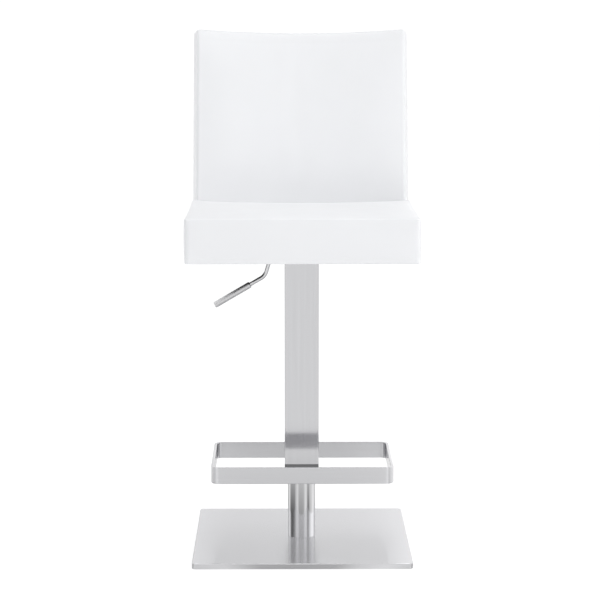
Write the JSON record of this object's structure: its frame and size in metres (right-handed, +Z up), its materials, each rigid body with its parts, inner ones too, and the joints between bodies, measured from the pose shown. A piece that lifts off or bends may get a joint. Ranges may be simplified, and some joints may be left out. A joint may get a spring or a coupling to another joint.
{
  "type": "swivel bar stool",
  "caption": "Swivel bar stool with a padded seat and backrest, gas-lift column, rectangular footrest, release lever and square base plate.",
  "frame": {"origin": "middle of the base's underside, on the column's axis", "axes": "+Z up the column, +X to the right as the picture shows the stool, +Y from the seat's front to the backrest"},
  "size_m": [0.4088, 0.4525, 0.9339],
  "materials": {
    "brushed_stainless": "brushed stainless steel, fine straight grain",
    "polished_stainless": "finely polished stainless steel",
    "knurled_steel": "knurled bright steel",
    "zinc_steel": "zinc-plated steel",
    "bearing_steel": "ground and polished steel",
    "black_steel": "black powder-coated steel, fine texture",
    "dark_plastic": "dark grey moulded plastic",
    "grey_plastic": "grey moulded plastic",
    "bumper_rubber": "black rubber",
    "felt_rubber": "black non-slip sheet",
    "plywood": "birch plywood",
    "black_cloth": "thin black lining cloth",
    "leatherette": "white leatherette, a vinyl-coated cloth, over foam"
  },
  "bodies": {
    "base": {"floor_pad": "felt_rubber", "base_weight": "black_steel", "base_cover": "brushed_stainless", "column_tube": "polished_stainless", "column_foot": "zinc_steel", "foot_bolts": "zinc_steel", "tube_liner": "dark_plastic", "bearing_lower_washer": "zinc_steel"},
    "ball_cage": {"bearing_cage": "grey_plastic", "bearing_balls": "bearing_steel"},
    "swivel": {"bearing_upper_washer": "zinc_steel", "stop_bumper": "bumper_rubber", "piston_rod": "bearing_steel", "rod_clip": "zinc_steel", "piston": "zinc_steel", "piston_ring": "bumper_rubber"},
    "seat": {"pressure_tube": "black_steel", "tube_gland": "dark_plastic", "valve_block": "zinc_steel", "taper_hub": "zinc_steel", "mechanism_pan": "black_steel", "column_head": "zinc_steel", "head_screws": "zinc_steel", "square_column": "brushed_stainless", "column_collar": "dark_plastic", "footrest": "brushed_stainless", "footrest_screws": "zinc_steel", "footrest_nuts": "zinc_steel", "lever_pivot_pin": "zinc_steel", "pivot_clip": "zinc_steel", "seat_board": "plywood", "dust_cloth": "black_cloth", "pan_bolts": "zinc_steel", "tee_nuts": "zinc_steel", "seat_cushion": "leatherette", "back_board": "plywood", "back_brackets": "black_steel", "bracket_screws": "zinc_steel", "back_screws": "zinc_steel", "back_cushion": "leatherette"},
    "lever": {"lever_rod": "polished_stainless", "lever_grip": "knurled_steel", "lever_sleeve": "zinc_steel"},
    "pin": {"release_pin": "bearing_steel"}
  },
  "joints": [
    {"name": "swivel_turn", "type": "hinge", "parent": "base", "child": "swivel", "pos_m": [0, 0, 0.024], "axis": [0, 0, 1], "continuous": true},
    {"name": "ball_cage_turn", "type": "hinge", "parent": "base", "child": "ball_cage", "pos_m": [0, 0, 0.028], "axis": [0, 0, 1], "continuous": true},
    {"name": "seat_height", "type": "slide", "parent": "swivel", "child": "seat", "axis": [0, 0, 1], "range_m": [-0.06, 0.15]},
    {"name": "lever_lift", "type": "hinge", "parent": "seat", "child": "lever", "pos_m": [-0.028, 0, 0.53275], "axis": [0, 1, 0], "range_deg": [0, 7], "stiffness_Nm_per_rad": 4, "springref_deg": -5.73},
    {"name": "pin_press", "type": "slide", "parent": "seat", "child": "pin", "axis": [0, 0, -1], "range_m": [0, 0.0036]}
  ],
  "couplings": [
    {"joint": "ball_cage_turn", "follows": "swivel_turn", "ratio": 0.5},
    {"joint": "pin_press", "follows": "lever_lift", "m_per_rad": 0.0285}
  ]
}
